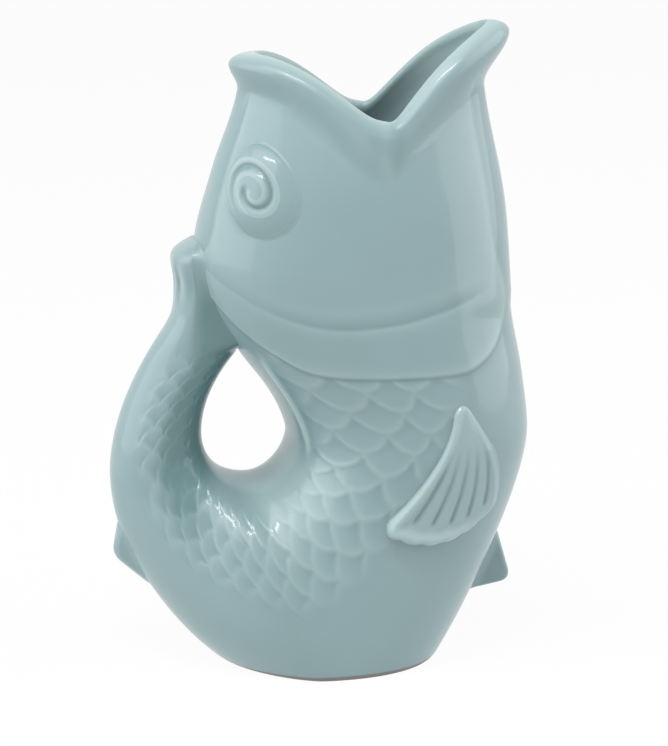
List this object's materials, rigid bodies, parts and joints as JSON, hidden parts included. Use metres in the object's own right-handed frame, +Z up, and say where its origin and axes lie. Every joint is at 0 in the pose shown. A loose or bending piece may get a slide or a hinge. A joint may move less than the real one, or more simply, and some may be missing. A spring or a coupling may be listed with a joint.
{
  "type": "gurgle jug",
  "caption": "Fish-shaped glazed ceramic pitcher: the open mouth is the spout, and the hollow tail curls up as the handle and traps air that gurgles when it pours.",
  "frame": {"origin": "middle of the jug's length and width, on the table that the foot stands on", "axes": "+X towards the spout, +Z up, +Y across the fish"},
  "size_m": [0.1695, 0.1062, 0.2549],
  "materials": {
    "glaze": "glossy pale blue-green glaze over cast white clay, bare on the foot ring"
  },
  "bodies": {
    "root": {"body_shell": "glaze", "head_shell": "glaze", "tail_handle": "glaze", "tail_fin": "glaze", "eye_left": "glaze", "eye_right": "glaze", "pectoral_fin_left": "glaze", "pectoral_fin_right": "glaze", "pelvic_fin": "glaze", "anal_fin": "glaze"}
  },
  "joints": []
}
